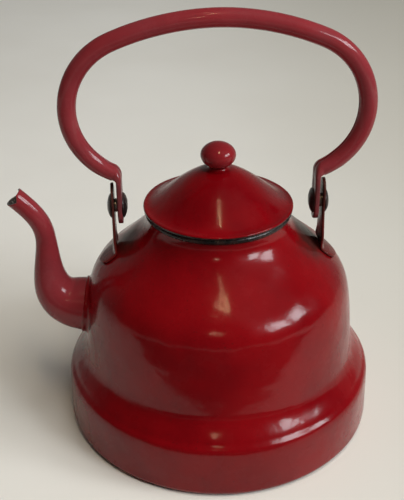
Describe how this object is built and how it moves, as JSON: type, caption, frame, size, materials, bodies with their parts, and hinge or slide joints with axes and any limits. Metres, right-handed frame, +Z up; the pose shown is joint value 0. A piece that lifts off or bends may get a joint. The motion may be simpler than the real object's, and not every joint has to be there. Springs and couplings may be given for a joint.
{
  "type": "stovetop kettle",
  "caption": "Enamelled steel stovetop kettle with a gooseneck spout, a folding bail handle riveted to two lugs, and a lift-off flared lid with a ball knob.",
  "frame": {"origin": "centre of the flat base the kettle stands on", "axes": "+Z up, the spout points along -X, the bail stands in the XZ plane and its pins lie along X"},
  "size_m": [0.2534, 0.222, 0.2953],
  "materials": {
    "red_enamel": "gloss enamel",
    "black_enamel": "gloss enamel, worn",
    "grey_steel": "dull"
  },
  "bodies": {
    "kettle": {"body_shell": "red_enamel", "bottom_plate": "black_enamel", "neck_rim": "black_enamel", "spout_near_half": "red_enamel", "spout_far_half": "red_enamel", "spout_collar": "red_enamel", "spout_side_lug": "red_enamel", "far_side_lug": "red_enamel", "spout_side_rivet": "black_enamel", "far_side_rivet": "black_enamel", "spout_side_spacer": "grey_steel", "far_side_spacer": "grey_steel"},
    "bail": {"handle_bail": "red_enamel"},
    "lid": {"lid_shell": "red_enamel", "lid_skirt": "red_enamel", "knob_foot": "red_enamel", "lid_knob": "red_enamel", "knob_rivet": "grey_steel"}
  },
  "joints": [
    {"name": "bail_hinge", "type": "hinge", "parent": "kettle", "child": "bail", "pos_m": [0, 0, 0.1632], "axis": [1, 0, 0], "range_deg": [-118, 118]},
    {"name": "lid_lift", "type": "slide", "parent": "kettle", "child": "lid", "axis": [0, 0, 1], "range_m": [0, 0.06]}
  ]
}
